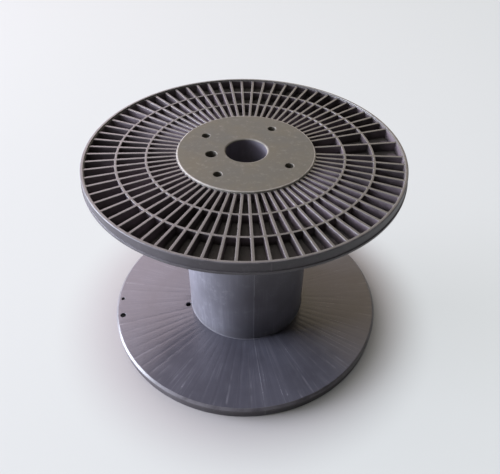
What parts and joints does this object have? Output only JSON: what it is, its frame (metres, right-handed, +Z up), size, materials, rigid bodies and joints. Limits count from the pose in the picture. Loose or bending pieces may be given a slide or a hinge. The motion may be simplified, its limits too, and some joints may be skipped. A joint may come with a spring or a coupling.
{
  "type": "plastic wire spool",
  "caption": "Moulded plastic spool for wire: round ribbed flanges on a hollow barrel, with a central bore, driver holes in the hub and small holes for the ends of the wire.",
  "frame": {"origin": "centre of the lower flange's outer face, on the spool's axis, at the level that the spool stands on", "axes": "+Z up along the spool's axis; +X through the rib in the middle of the upper flange's two wide cells; +Y completes the right-handed frame and is the axis that the two like flanges are turned over about"},
  "size_m": [0.3999, 0.4, 0.286],
  "materials": {
    "moulded_plastic": "dark grey moulded plastic with a soft sheen, scuffed on the flanges"
  },
  "bodies": {
    "root": {"spool": "moulded_plastic"}
  },
  "joints": []
}
